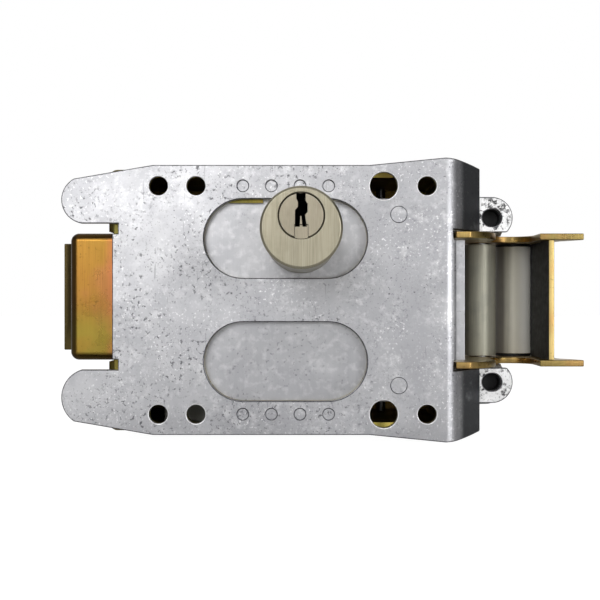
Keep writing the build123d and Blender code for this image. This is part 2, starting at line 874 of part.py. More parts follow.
with BuildPart() as pawl_axle:
    reach = bracket_outside + 2
    with BuildSketch(at_height(-reach)):
        with Locations(pawl_pin):
            Circle(pawl_pin_d / 2)
    extrude(amount=2 * reach)
    chamfer(pawl_axle.edges().filter_by(GeomType.CIRCLE), length=0.5)
    for low in (bracket_outside + 0.1, -bracket_outside - 0.9):
        with BuildSketch(at_height(low)):
            with Locations(pawl_pin):
                Circle(pawl_pin_d / 2)
                Circle(pawl_pin_d / 2 - 0.6, mode=Mode.SUBTRACT)
        extrude(amount=0.8, mode=Mode.SUBTRACT)
finish(pawl_axle, "pawl_axle")

with BuildPart() as pawl_axle_rings:
    for low in (bracket_outside + 0.1, -bracket_outside - 0.9):
        add(open_ring(pawl_pin, low, pawl_pin_d / 2 + 2, pawl_pin_d / 2 - 0.6, 0.8))
finish(pawl_axle_rings, "pawl_axle_rings")

# Solenoid, lying along X
axis_y = link_at[1]


def across(x):
    """Sketch plane square to the solenoid's axis; local x is Y and local y is Z."""
    return Plane(origin=(x, axis_y, 0), x_dir=(0, 1, 0), z_dir=(1, 0, 0))


screw_spots = [(solenoid_left - yoke_screw_out, 0), (solenoid_right + yoke_screw_out, 0)]
with BuildPart() as solenoid_yoke:
    with BuildSketch(at_depth(floor_y)):
        with Locations(((solenoid_left + solenoid_right) / 2, 0)):
            Rectangle(solenoid_right - solenoid_left, 2 * solenoid_half)
        with Locations((solenoid_left - yoke_ear / 2 + 1, 0), (solenoid_right + yoke_ear / 2 - 1, 0)):
            RectangleRounded(yoke_ear, 12, 1.5)
        with Locations(*screw_spots):
            Circle(yoke_screw_r, mode=Mode.SUBTRACT)
    extrude(amount=-yoke_t)
    for left in (solenoid_left, solenoid_right - yoke_t):
        with BuildSketch(across(left)):
            with Locations(((floor_y - axis_y + solenoid_half) / 2, 0)):
                Rectangle(axis_y - floor_y + solenoid_half, 2 * solenoid_half)
            Circle(bobbin_bore / 2, mode=Mode.SUBTRACT)
        extrude(amount=yoke_t)
finish(solenoid_yoke, "solenoid_yoke")

bobbin_left = solenoid_left + yoke_t
bobbin_right = solenoid_right - yoke_t
with BuildPart() as solenoid_bobbin:
    with BuildSketch(across(bobbin_left)):
        Circle(bobbin_bore / 2 + bobbin_wall)
        Circle(bobbin_bore / 2, mode=Mode.SUBTRACT)
    extrude(amount=bobbin_right - bobbin_left)
    for left in (bobbin_left, bobbin_right - bobbin_flange_t):
        with BuildSketch(across(left)):
            Circle(solenoid_half)
            Circle(bobbin_bore / 2, mode=Mode.SUBTRACT)
        extrude(amount=bobbin_flange_t)
finish(solenoid_bobbin, "solenoid_bobbin")

with BuildPart() as solenoid_coil:
    with BuildSketch(across(bobbin_left + bobbin_flange_t)):
        Circle(coil_d / 2)
        Circle(bobbin_bore / 2 + bobbin_wall, mode=Mode.SUBTRACT)
    extrude(amount=bobbin_right - bobbin_left - 2 * bobbin_flange_t)
finish(solenoid_coil, "solenoid_coil")

with BuildPart() as solenoid_core:
    with BuildSketch(across(solenoid_left)):
        Circle(bobbin_bore / 2)
    extrude(amount=core_face - solenoid_left)
    with BuildSketch(across(solenoid_left)):
        Circle(bobbin_bore / 2 + 2)
    extrude(amount=-2)
finish(solenoid_core, "solenoid_core")

with BuildPart() as solenoid_screws:
    with BuildSketch(at_depth(floor_y)):
        with Locations(*screw_spots):
            Circle(yoke_screw_r)
    extrude(amount=-yoke_t)
    with BuildSketch(at_depth(floor_y + yoke_t)):
        with Locations(*screw_spots):
            Circle(yoke_screw_head_r)
    extrude(amount=-2.2)
finish(solenoid_screws, "solenoid_screws")

plunger_left = core_face + core_gap
with BuildPart() as plunger:
    with BuildSketch(across(plunger_left)):
        Circle(plunger_d / 2)
    extrude(amount=plunger_end - plunger_left)
    chamfer(plunger.edges().filter_by(GeomType.CIRCLE), length=0.6)
finish(plunger, "plunger")

with BuildPart() as plunger_link:
    with BuildSketch(across(plunger_end)):
        Circle(collar_d / 2)
    extrude(amount=collar_t)
    with BuildSketch(across(plunger_end)):
        Circle(rod_d / 2)
    extrude(amount=fork_left - plunger_end)
    with BuildSketch(at_height(-fork_half)):
        with Locations(((fork_left + fork_right) / 2, axis_y)):
            RectangleRounded(fork_right - fork_left, 2 * fork_high, 2)
        with Locations(link_at):
            RectangleRounded(link_d + 2 * slip_gap, link_d + 4 * slip_gap, 1, mode=Mode.SUBTRACT)
    extrude(amount=2 * fork_half)
finish(plunger_link, "plunger_link")

return_length = plunger_end - solenoid_right
return_pitch = (return_length - return_wire - 0.8) / return_turns
return_coil = coil_wire(
    return_mean, return_turns, return_pitch, return_wire,
    (solenoid_right + return_wire / 2 + 0.3, axis_y, 0), (1, 0, 0), (0, 1, 0),
)
with BuildPart() as plunger_spring:
    add(return_coil)
finish(plunger_spring, "plunger_spring")
print("plunger spring turns clear each other by", round(return_pitch - return_wire, 2))

pull_length = pull_post - pull_left - 8
coil_start = pull_left + 3
coil_end = coil_start + pull_length
eye_reach = pull_mean / 2 + 0.3
post_eye = (coil_end + 4, axis_y - 10, pull_z)
strap_eye = (coil_start - 4, axis_y - 10, pull_z)

# Release handle: a folded box with a lip outside, two straps to the link pin inside
with BuildPart() as release_handle:
    depth = handle_back - handle_front
    with BuildSketch(at_depth(handle_front)):
        with Locations(((handle_left + strap_from) / 2, handle_z)):
            Rectangle(strap_from - handle_left, 2 * handle_half)
    extrude(amount=-depth)
    fillet(release_handle.faces().sort_by(Axis.Y)[0].edges().filter_by(Axis.X), radius=handle_bend)
    fillet(release_handle.faces().sort_by(Axis.Y)[0].edges().sort_by(Axis.X)[0], radius=handle_bend)
    with BuildSketch(at_depth(handle_front + handle_t)):
        with Locations(((handle_left + handle_t + strap_from) / 2, handle_z)):
            Rectangle(strap_from - handle_left - handle_t, 2 * (handle_half - handle_t))
    extrude(amount=-depth, mode=Mode.SUBTRACT)
    with BuildSketch(at_depth(handle_front)):
        with Locations(((handle_web_end + strap_from) / 2, handle_z)):
            Rectangle(strap_from - handle_web_end, 2 * (handle_half - handle_t))
    extrude(amount=-handle_t, mode=Mode.SUBTRACT)
    with BuildSketch(at_depth(handle_back - handle_t)):
        with Locations(((lip_left + handle_left + handle_t) / 2, handle_z)):
            Rectangle(handle_left + handle_t - lip_left, 2 * lip_half)
    extrude(amount=-handle_t)
    for inner in (handle_z + handle_half - handle_t, handle_z - handle_half):
        with BuildSketch(at_height(inner)):
            with BuildLine():
                low = link_at[1] - strap_half
                high = link_at[1] + strap_half
                Polyline((strap_from - 1, low), (strap_end - 3, low), (strap_end, low + 3),
                         (strap_end, high - 3), (strap_end - 3, high), (strap_from - 1, high),
                         close=True)
            make_face()
            slot_right = link_at[0] + link_d / 2 + slip_gap
            slot_left_end = link_at[0] - strap_slot_back
            with Locations(((slot_left_end + slot_right) / 2, link_at[1])):
                SlotOverall(slot_right - slot_left_end, link_d + 4 * slip_gap, mode=Mode.SUBTRACT)
        extrude(amount=handle_t)
    with BuildSketch(at_height(handle_z + handle_half - handle_t)):
        with Locations((cam_tab_at, link_at[1] - strap_half - 2.5)):
            Rectangle(3, 7)
    extrude(amount=handle_t)
    with BuildSketch(at_height(handle_z - handle_half + handle_t)):
        with Locations((strap_eye[0], strap_eye[1])):
            Circle(post_d / 2)
    extrude(amount=pull_z + 1.2 - handle_z + handle_half - handle_t)
finish(release_handle, "release_handle")

pull_coil = coil_wire(
    pull_mean, pull_turns, pull_length / pull_turns, pull_wire,
    (coil_start, strap_eye[1], pull_z), (1, 0, 0), (0, 1, 0),
)
pull_ends = []
for end, eye, way in ((coil_end, post_eye, (0, 1, 0)), (coil_start, strap_eye, (0, 0, 1))):
    inward = 1 if end > eye[0] else -1
    eye_side = (eye[0] + inward * eye_reach, eye[1], pull_z)
    pull_ends.append(ring_about(eye, way, 2 * eye_reach, pull_wire))
    pull_ends.append(rod((end, eye[1] + pull_mean / 2, pull_z), eye_side, pull_wire))
with BuildPart() as handle_spring:
    add(pull_coil)
    add(pull_ends)
finish(handle_spring, "handle_spring")
print("handle spring turns clear each other by", round(pull_length / pull_turns - pull_wire, 2))

with BuildPart() as spring_post:
    with BuildSketch(at_depth(floor_y)):
        with Locations((post_eye[0], pull_z)):
            Circle(post_d / 2)
    extrude(amount=-(post_eye[1] + 2 - floor_y))
    with BuildSketch(at_depth(post_eye[1] + 1)):
        with Locations((post_eye[0], pull_z)):
            Circle(post_d / 2 + 0.8)
    extrude(amount=-1)
finish(spring_post, "spring_post")

# Lock cylinder, its plug and its cam
with BuildPart() as cylinder_body:
    with BuildSketch(at_depth(cylinder_front)):
        with Locations(cylinder_at):
            Circle(cylinder_d / 2)
    extrude(amount=-(panel_y - cylinder_front))
    chamfer(cylinder_body.faces().sort_by(Axis.Y)[0].edges(), length=0.7)
    with BuildSketch(at_depth(panel_y)):
        with Locations((cylinder_at[0], boss_z)):
            Circle(boss_d / 2)
    extrude(amount=-(boss_end - panel_y))
    with BuildSketch(at_depth(cylinder_front)):
        with Locations((cylinder_at[0], boss_z)):
            Circle(plug_d / 2 + run_gap)
    extrude(amount=-plug_length, mode=Mode.SUBTRACT)
    with BuildSketch(at_depth(cylinder_front)):
        with Locations((cylinder_at[0], boss_z)):
            Circle(stem_d / 2 + run_gap)
    extrude(amount=-(boss_end - cylinder_front), mode=Mode.SUBTRACT)
finish(cylinder_body, "cylinder_body")

with BuildPart() as cylinder_nut:
    with BuildSketch(at_depth(floor_y)):
        with Locations((cylinder_at[0], boss_z)):
            RegularPolygon(nut_d / 2 * 0.9, 6)
            Circle(boss_d / 2, mode=Mode.SUBTRACT)
    extrude(amount=-nut_t)
finish(cylinder_nut, "cylinder_nut")

stem_end = boss_end + clip_t + 0.4
with BuildPart() as cylinder_plug:
    with BuildSketch(at_depth(cylinder_front)):
        with Locations((cylinder_at[0], boss_z)):
            Circle(plug_d / 2)
    extrude(amount=-(plug_length - run_gap))
    chamfer(cylinder_plug.faces().sort_by(Axis.Y)[0].edges(), length=0.3)
    with BuildSketch(at_depth(cylinder_front + plug_length - run_gap)):
        with Locations((cylinder_at[0], boss_z)):
            Circle(stem_d / 2)
    extrude(amount=-(stem_end - cylinder_front - plug_length + run_gap))
    with BuildSketch(at_depth(boss_end + 0.2)):
        with Locations((cylinder_at[0], boss_z)):
            Circle(stem_d / 2)
            Circle(stem_d / 2 - 0.9, mode=Mode.SUBTRACT)
    extrude(amount=-clip_t, mode=Mode.SUBTRACT)
    with BuildSketch(at_depth(stem_end)):
        with Locations((cylinder_at[0], boss_z)):
            Rectangle(5.6, 5.6)
    extrude(amount=-cam_t)
    with BuildSketch(at_depth(cylinder_front)):
        with BuildLine():
            top = boss_z + plug_d / 2 - 0.4
            left = cylinder_at[0] - key_width / 2
            right = cylinder_at[0] + key_width / 2
            low = top - key_height
            Polyline(
                (left + 0.4, top),
                (right - 0.6, top),
                (right - 0.6, top - 2.4),
                (right, top - 3.2),
                (right, top - 5.6),
                (right - 0.8, top - 6.6),
                (right - 0.3, low),
                (right - 1.3, low),
                (right - 1.7, top - 6.8),
                (left + 1.4, top - 6.8),
                (left + 1.2, low),
                (left, low),
                (left, top - 5.2),
                (left + 0.9, top - 4.2),
                (left + 0.9, top - 2.6),
                (left + 0.4, top - 1.6),
                close=True,
            )
        make_face()
    extrude(amount=-key_deep, mode=Mode.SUBTRACT)
    plug_foot = boss_z - plug_d / 2 + 0.6
    with BuildSketch(at_depth(cylinder_front)):
        with Locations((cylinder_at[0], (low + plug_foot) / 2)):
            Rectangle(key_groove_w, low - plug_foot + 1)
    extrude(amount=-key_groove_deep, mode=Mode.SUBTRACT)
finish(cylinder_plug, "cylinder_plug")

with BuildPart() as plug_clip:
    clip_plane = Plane(origin=(cylinder_at[0], boss_end + 0.2, boss_z), x_dir=(1, 0, 0), z_dir=(0, -1, 0))
    with BuildSketch(clip_plane):
        Circle(clip_d / 2)
        Circle(stem_d / 2 - 0.9, mode=Mode.SUBTRACT)
        with Locations((0, -clip_d / 2)):
            Rectangle(stem_d / 2, clip_d, mode=Mode.SUBTRACT)
    extrude(amount=-clip_t)
finish(plug_clip, "plug_clip")

with BuildPart() as cylinder_cam:
    cam_plane = Plane(origin=(cylinder_at[0], stem_end, boss_z), x_dir=(1, 0, 0), z_dir=(0, -1, 0))
    with BuildSketch(cam_plane):
        Circle(cam_hub_d / 2)
        with Locations((0, cam_reach - 3)):
            Circle(3)
        make_hull()
        Rectangle(5.6, 5.6, mode=Mode.SUBTRACT)
    extrude(amount=-cam_t)
finish(cylinder_cam, "cylinder_cam")

with BuildPart() as cam_screw:
    with BuildSketch(at_depth(stem_end + cam_t)):
        with Locations((cylinder_at[0], boss_z)):
            Circle(3.8)
    extrude(amount=-1.8)
finish(cam_screw, "cam_screw")

# Terminal block on the lower wall
with BuildPart() as terminal_block:
    low_z = -case_half + case_t
    with BuildSketch(at_height(low_z)):
        with Locations(block_at):
            Rectangle(block_size[0], block_size[1])
    extrude(amount=block_size[2])
    fillet(terminal_block.edges().filter_by(Axis.Z), radius=1)
    with BuildSketch(at_height(low_z + block_size[2])):
        with Locations(block_at):
            with GridLocations(block_pitch, 1, block_poles, 1):
                Circle(2.4)
    extrude(amount=-5, mode=Mode.SUBTRACT)
finish(terminal_block, "terminal_block")

with BuildPart() as terminal_screws:
    with BuildSketch(at_height(low_z + block_size[2] - 5)):
        with Locations(block_at):
            with GridLocations(block_pitch, 1, block_poles, 1):
                Circle(2.2)
    extrude(amount=3)
finish(terminal_screws, "terminal_screws")
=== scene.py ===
import json
from math import hypot, radians

import bmesh
import bpy
from mathutils import Matrix, Vector


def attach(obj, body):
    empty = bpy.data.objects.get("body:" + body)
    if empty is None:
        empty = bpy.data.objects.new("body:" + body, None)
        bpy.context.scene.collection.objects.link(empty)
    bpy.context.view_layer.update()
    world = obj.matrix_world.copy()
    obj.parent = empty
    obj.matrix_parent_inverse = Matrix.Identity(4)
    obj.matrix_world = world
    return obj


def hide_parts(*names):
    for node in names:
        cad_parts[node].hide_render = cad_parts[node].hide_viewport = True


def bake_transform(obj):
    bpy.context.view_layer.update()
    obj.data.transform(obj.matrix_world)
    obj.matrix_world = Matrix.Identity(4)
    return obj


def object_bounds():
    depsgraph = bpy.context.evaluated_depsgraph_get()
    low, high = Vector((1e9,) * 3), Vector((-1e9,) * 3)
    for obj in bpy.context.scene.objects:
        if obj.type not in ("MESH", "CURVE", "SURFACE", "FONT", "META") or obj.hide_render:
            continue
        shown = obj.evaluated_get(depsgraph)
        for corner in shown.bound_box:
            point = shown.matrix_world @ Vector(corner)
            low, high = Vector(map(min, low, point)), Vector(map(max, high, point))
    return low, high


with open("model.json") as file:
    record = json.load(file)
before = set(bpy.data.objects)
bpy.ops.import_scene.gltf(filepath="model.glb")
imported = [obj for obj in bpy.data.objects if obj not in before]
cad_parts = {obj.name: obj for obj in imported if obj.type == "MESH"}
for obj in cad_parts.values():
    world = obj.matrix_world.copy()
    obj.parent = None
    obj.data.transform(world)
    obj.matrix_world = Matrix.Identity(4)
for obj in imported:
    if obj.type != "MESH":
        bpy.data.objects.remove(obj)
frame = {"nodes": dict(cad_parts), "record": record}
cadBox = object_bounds()
mm = 0.001
weldMm = 0.001  # corners nearer than this become one


# Small tools

def linear(code):
    # sRGB hex to linear colour
    parts = [int(code[i:i + 2], 16) / 255 for i in (1, 3, 5)]
    return [c / 12.92 if c <= 0.04045 else ((c + 0.055) / 1.055) ** 2.4 for c in parts] + [1.0]


def addNode(tree, kind, inputs=None, **settings):
    node = tree.nodes.new(kind)
    for name, value in settings.items():
        setattr(node, name, value)
    for name, value in (inputs or {}).items():
        if isinstance(value, bpy.types.NodeSocket):
            tree.links.new(value, node.inputs[name])
        else:
            node.inputs[name].default_value = value
    return node


def newMaterial(name):
    material = bpy.data.materials.new(name)
    material.use_nodes = True
    material.node_tree.nodes.clear()
    return material, material.node_tree


# what a layer of grain has unless it says otherwise
plainGrain = {"move": (0, 0, 0), "turn": (0, 0, 0), "stretch": (1, 1, 1),
              "detail": 3.0, "crumble": 0.55, "most": 1.0}
# where a surface turns from smooth to dull
dulling = {"levels": (0.35, 0.65), "move": (0.3, 0.7, 0.2)}


def grainMask(tree, place, layer):
    # noise with grains of layer["mm"] millimetres, cut to a mask between two levels
    grain = {**plainGrain, **layer}
    spot = addNode(tree, "ShaderNodeMapping", {
        "Vector": place, "Location": grain["move"], "Rotation": grain["turn"],
        "Scale": grain["stretch"]})
    noise = addNode(tree, "ShaderNodeTexNoise", {
        "Vector": spot.outputs[0], "Scale": 1 / (grain["mm"] * mm),
        "Detail": grain["detail"], "Roughness": grain["crumble"]})
    low, high = grain["levels"]
    return addNode(tree, "ShaderNodeMapRange", {
        0: noise.outputs[0], 1: low, 2: high, 3: 0.0, 4: grain["most"]}).outputs[0]


def layeredMaterial(name, look):
    # a base colour under layers of grain, each with its colour, its relief, where it crowds, and
    # the zones that it keeps to: axis, where it starts and where it is whole, in mm
    material, tree = newMaterial(name)
    shader = addNode(tree, "ShaderNodeBsdfPrincipled", {"Metallic": look["metallic"]})
    addNode(tree, "ShaderNodeOutputMaterial", {"Surface": shader.outputs[0]})
    place = addNode(tree, "ShaderNodeTexCoord").outputs["Object"]
    tone, height = linear(look["base"]), 0.0
    for layer in look["layers"]:
        mask = grainMask(tree, place, layer)
        if "crowd" in layer:
            crowd = grainMask(tree, place, layer["crowd"])
            mask = addNode(tree, "ShaderNodeMath", {0: mask, 1: crowd},
                           operation="MULTIPLY").outputs[0]
        for axis, start, end in layer.get("zones", ()):
            spot = addNode(tree, "ShaderNodeSeparateXYZ", {0: place}).outputs[axis]
            zone = addNode(tree, "ShaderNodeMapRange",
                           {0: spot, 1: start * mm, 2: end * mm, 3: 0.0, 4: 1.0},
                           interpolation_type="SMOOTHSTEP").outputs[0]
            mask = addNode(tree, "ShaderNodeMath", {0: mask, 1: zone},
                           operation="MULTIPLY").outputs[0]
        tone = addNode(tree, "ShaderNodeMix", {0: mask, 6: tone, 7: linear(layer["colour"])},
                       data_type="RGBA").outputs[2]
        if "relief" in layer:
            height = addNode(tree, "ShaderNodeMath", {0: mask, 1: layer["relief"], 2: height},
                             operation="MULTIPLY_ADD").outputs[0]
    tree.links.new(tone, shader.inputs["Base Color"])
    smooth, dull = look["roughness"]
    way = look.get("grainWay", plainGrain["stretch"])
    patches = grainMask(tree, place, {**dulling, "mm": look["dullMm"], "stretch": way})
    rough = addNode(tree, "ShaderNodeMapRange", {0: patches, 1: 0.0, 2: 1.0, 3: smooth, 4: dull})
    tree.links.new(rough.outputs[0], shader.inputs["Roughness"])
    if height != 0.0:
        relief = addNode(tree, "ShaderNodeBump",
                         {"Strength": 1.0, "Distance": mm, "Height": height})
        tree.links.new(relief.outputs[0], shader.inputs["Normal"])
    return material


print("tools ready")


# Materials. Each starts from the real metal or plastic and how its surface was made

# hot-dip galvanised sheet: soft grey spangle, pin-head dark flecks, whitish bloom, fine scratches
plateLook = {
    "base": "#b9b9bc", "metallic": 1.0, "roughness": (0.36, 0.5), "dullMm": 30,
    "layers": [
        {"mm": 9, "levels": (0.36, 0.64), "most": 0.8, "detail": 2.0, "colour": "#c8c8ca",
         "relief": 0.01},
        {"mm": 36, "levels": (0.42, 0.7), "most": 0.5, "colour": "#98989c",
         "move": (0.3, 0.1, 0.7)},
        # painted shade: darker zinc, coming in left of the middle and whole up to the hook's end,
        # for the dimmer reflection on the plate's right
        {"mm": 24, "levels": (0.2, 0.5), "most": 0.42, "colour": "#96969a",
         "zones": [(0, -38.0, -12.0)]},
        # cloudy bloom in patches of 3 mm
        {"mm": 3, "levels": (0.5, 0.68), "most": 0.55, "detail": 5.0, "crumble": 0.7,
         "colour": "#dededf", "move": (0.5, 0.5, 0.1),
         "crowd": {"mm": 15, "levels": (0.38, 0.56), "move": (0.1, 0.8, 0.4)}},
        # flecks of 0.3 to 1 mm, thick in some places and thin in others, fewer towards the hook
        {"mm": 1.5, "levels": (0.56, 0.63), "most": 0.8, "detail": 4.0, "crumble": 0.66,
         "colour": "#47474b", "relief": -0.03, "zones": [(0, 75.0, -10.0)],
         "crowd": {"mm": 14, "levels": (0.36, 0.6), "move": (0.9, 0.2, 0.4)}},
        {"mm": 0.8, "levels": (0.6, 0.67), "most": 0.7, "crumble": 0.6,
         "colour": "#2f2f33", "relief": -0.02, "move": (0.2, 0.9, 0.6),
         "crowd": {"mm": 8, "levels": (0.4, 0.62), "move": (0.4, 0.3, 0.9)}},
        {"mm": 0.9, "levels": (0.6, 0.66), "most": 0.6, "colour": "#f4f4f4",
         "move": (0.6, 0.1, 0.3),
         "crowd": {"mm": 11, "levels": (0.4, 0.6), "move": (0.2, 0.5, 0.8)}},
        # handling scratches a third of a millimetre wide
        {"mm": 0.9, "levels": (0.71, 0.75), "most": 0.4, "detail": 1.0, "colour": "#77777a",
         "stretch": (1, 1, 0.07), "turn": (0, 0.5, 0)},
        # painted shade on the wings, behind the bends, where they turn away from the light
        {"mm": 6, "levels": (0.0, 0.4), "most": 0.85, "detail": 4.0, "colour": "#35383b",
         "zones": [(1, 2.6, 6.0)]},
    ],
}
# the same sheet where it stayed covered: fewer flecks, rolling lines half a millimetre apart
panelLook = {
    "base": "#aeaeb1", "metallic": 1.0, "roughness": (0.34, 0.46), "dullMm": 24,
    "layers": [
        {"mm": 9, "levels": (0.36, 0.64), "most": 0.8, "detail": 2.0, "colour": "#bebec0"},
        {"mm": 30, "levels": (0.42, 0.7), "most": 0.45, "colour": "#9c9ca0"},
        {"mm": 1.4, "levels": (0.6, 0.67), "most": 0.5, "detail": 4.0, "colour": "#5a5a5e",
         "crowd": {"mm": 12, "levels": (0.42, 0.62)}},
        {"mm": 2.5, "levels": (0.5, 0.7), "most": 0.4, "detail": 5.0, "colour": "#dcdcdd",
         "move": (0.5, 0.5, 0.1)},
        {"mm": 0.5, "levels": (0.4, 0.75), "most": 0.1, "colour": "#808084",
         "stretch": (1, 1, 0.03)},
    ],
}
# thick zinc over a sheared edge: nearly white with black pits and crusts
bracketLook = {
    "base": "#dadada", "metallic": 0.7, "roughness": (0.36, 0.5), "dullMm": 6,
    "layers": [
        {"mm": 5, "levels": (0.4, 0.62), "most": 0.7, "colour": "#f1f1f1"},
        {"mm": 1.6, "levels": (0.51, 0.57), "most": 0.95, "detail": 5.0, "crumble": 0.75,
         "colour": "#2c2c2f", "relief": -0.05,
         "crowd": {"mm": 5, "levels": (0.34, 0.5), "move": (0.5, 0.1, 0.2)}},
        {"mm": 0.7, "levels": (0.6, 0.66), "most": 0.7, "colour": "#66666a",
         "move": (0.1, 0.4, 0.9)},
    ],
}
# sheared edges lose their bright zinc; the darker line on every broken edge, dimple and window
# rims too, is also painted shade
plateEdgeLook = {**plateLook, "base": "#66666a", "layers": [
    {"mm": 2.2, "levels": (0.42, 0.6), "most": 0.4, "colour": "#a4a4a6"},
    {"mm": 1.1, "levels": (0.52, 0.6), "most": 0.7, "colour": "#3c3c40"},
]}
# the brackets' outlines in the same darker line, partly painted shade
bracketEdgeLook = {**plateEdgeLook, "base": "#5e5e62", "metallic": 0.8}
# the rims of the round holes nearly white: a painted highlight along each hole's edge
rimHighlightLook = {**plateEdgeLook, "base": "#f2f2f2", "metallic": 0.6, "layers": [
    {"mm": 2.2, "levels": (0.46, 0.6), "most": 0.4, "colour": "#b8b8ba"},
]}


def yellowZincLook(gold, green, rose, greenish, roughness):
    # yellow chromate over zinc: gold that drifts to green and rose as the film thickens, and the
    # drawing lines of the sheet under it
    return {
        "base": gold, "metallic": 1.0, "roughness": roughness, "dullMm": 8,
        "layers": [
            {"mm": 26, "levels": (0.4, 0.62), "most": greenish, "detail": 2.0, "colour": green},
            {"mm": 13, "levels": (0.48, 0.66), "most": 0.6, "colour": rose,
             "stretch": (1, 1, 0.6), "move": (0.2, 0.4, 0.1)},
            {"mm": 0.5, "levels": (0.35, 0.75), "most": 0.25, "detail": 2.0,
             "colour": "#3d3420", "stretch": (1, 1, 0.04), "relief": 0.008},
            {"mm": 1.3, "levels": (0.62, 0.68), "most": 0.45, "colour": "#4a3f22",
             "relief": -0.01},
        ],
    }


def drawnLook(base, dark, roughness, lineMm=0.4, along=(1, 1, 0.04), metallic=1.0, worn=0.3):
    # drawn, turned or brushed metal: fine lines one way and a few dull patches
    return {
        "base": base, "metallic": metallic, "roughness": roughness, "dullMm": 5,
        "grainWay": along,
        "layers": [
            {"mm": lineMm, "levels": (0.3, 0.75), "most": 0.55, "detail": 2.0, "colour": dark,
             "stretch": along, "relief": 0.008},
            {"mm": 6, "levels": (0.5, 0.7), "most": worn, "colour": dark},
        ],
    }


def mouldedLook(base, dark, roughness, grainMm=0.35):
    # moulded plastic or rubber: even colour, fine grain, soft gloss
    return {
        "base": base, "metallic": 0.0, "roughness": roughness, "dullMm": 2,
        "layers": [
            {"mm": 7, "levels": (0.35, 0.7), "most": 0.5, "detail": 2.0, "colour": dark},
            {"mm": grainMm, "levels": (0.3, 0.7), "most": 0.3, "detail": 2.0, "colour": dark,
             "relief": 0.02},
        ],
    }


# a turned bar: dull pale steel with fine lines; paler zones on its front and right are a painted
# highlight, a grey zone on its left is painted shade
barLook = drawnLook("#bdb9a8", "#93908a", (0.46, 0.56), 0.35, (1, 1, 0.03), 0.2)
for colour, most, zones in (
        # painted highlight on the front, round the middle
        ("#d8d4c4", 0.9, [(0, 79.5, 82.0), (1, 51.0, 49.5)]),
        ("#645e5c", 0.7, [(0, 79.2, 77.8)]),  # painted shade on the side towards the sleeve
        # painted highlight, near white, on the front of the right side
        ("#fffdf4", 1.0, [(0, 82.5, 86.5), (1, 51.0, 49.5)])):
    barLook["layers"].append(
        {"mm": 8, "levels": (0.0, 0.2), "most": most, "colour": colour, "zones": zones})
# a folded handle: the film ran to green at its low end and to rose at its sheared edge
handleLook = yellowZincLook("#a87838", "#968334", "#b0724a", 0.25, (0.26, 0.38))
handleLook["layers"] += [
    {"mm": 20, "levels": (0.2, 0.45), "most": 0.75, "colour": "#96883a",
     "zones": [(2, 0.0, -12.0)]},
    {"mm": 9, "levels": (0.3, 0.6), "most": 0.6, "colour": "#b86c4c",
     "zones": [(0, -69.5, -66.0)]},
]
# painted shade: darker brown round the three bends, and olive on the lip
for colour, zone in (("#3a2c16", (0, -78.2, -79.4)), ("#3a2c16", (2, 20.9, 21.9)),
                     ("#3a2c16", (2, -18.5, -19.5)), ("#463e26", (0, -80.6, -82.2))):
    handleLook["layers"].append(
        {"mm": 12, "levels": (0.0, 0.1), "most": 0.85, "colour": colour, "zones": [zone]})

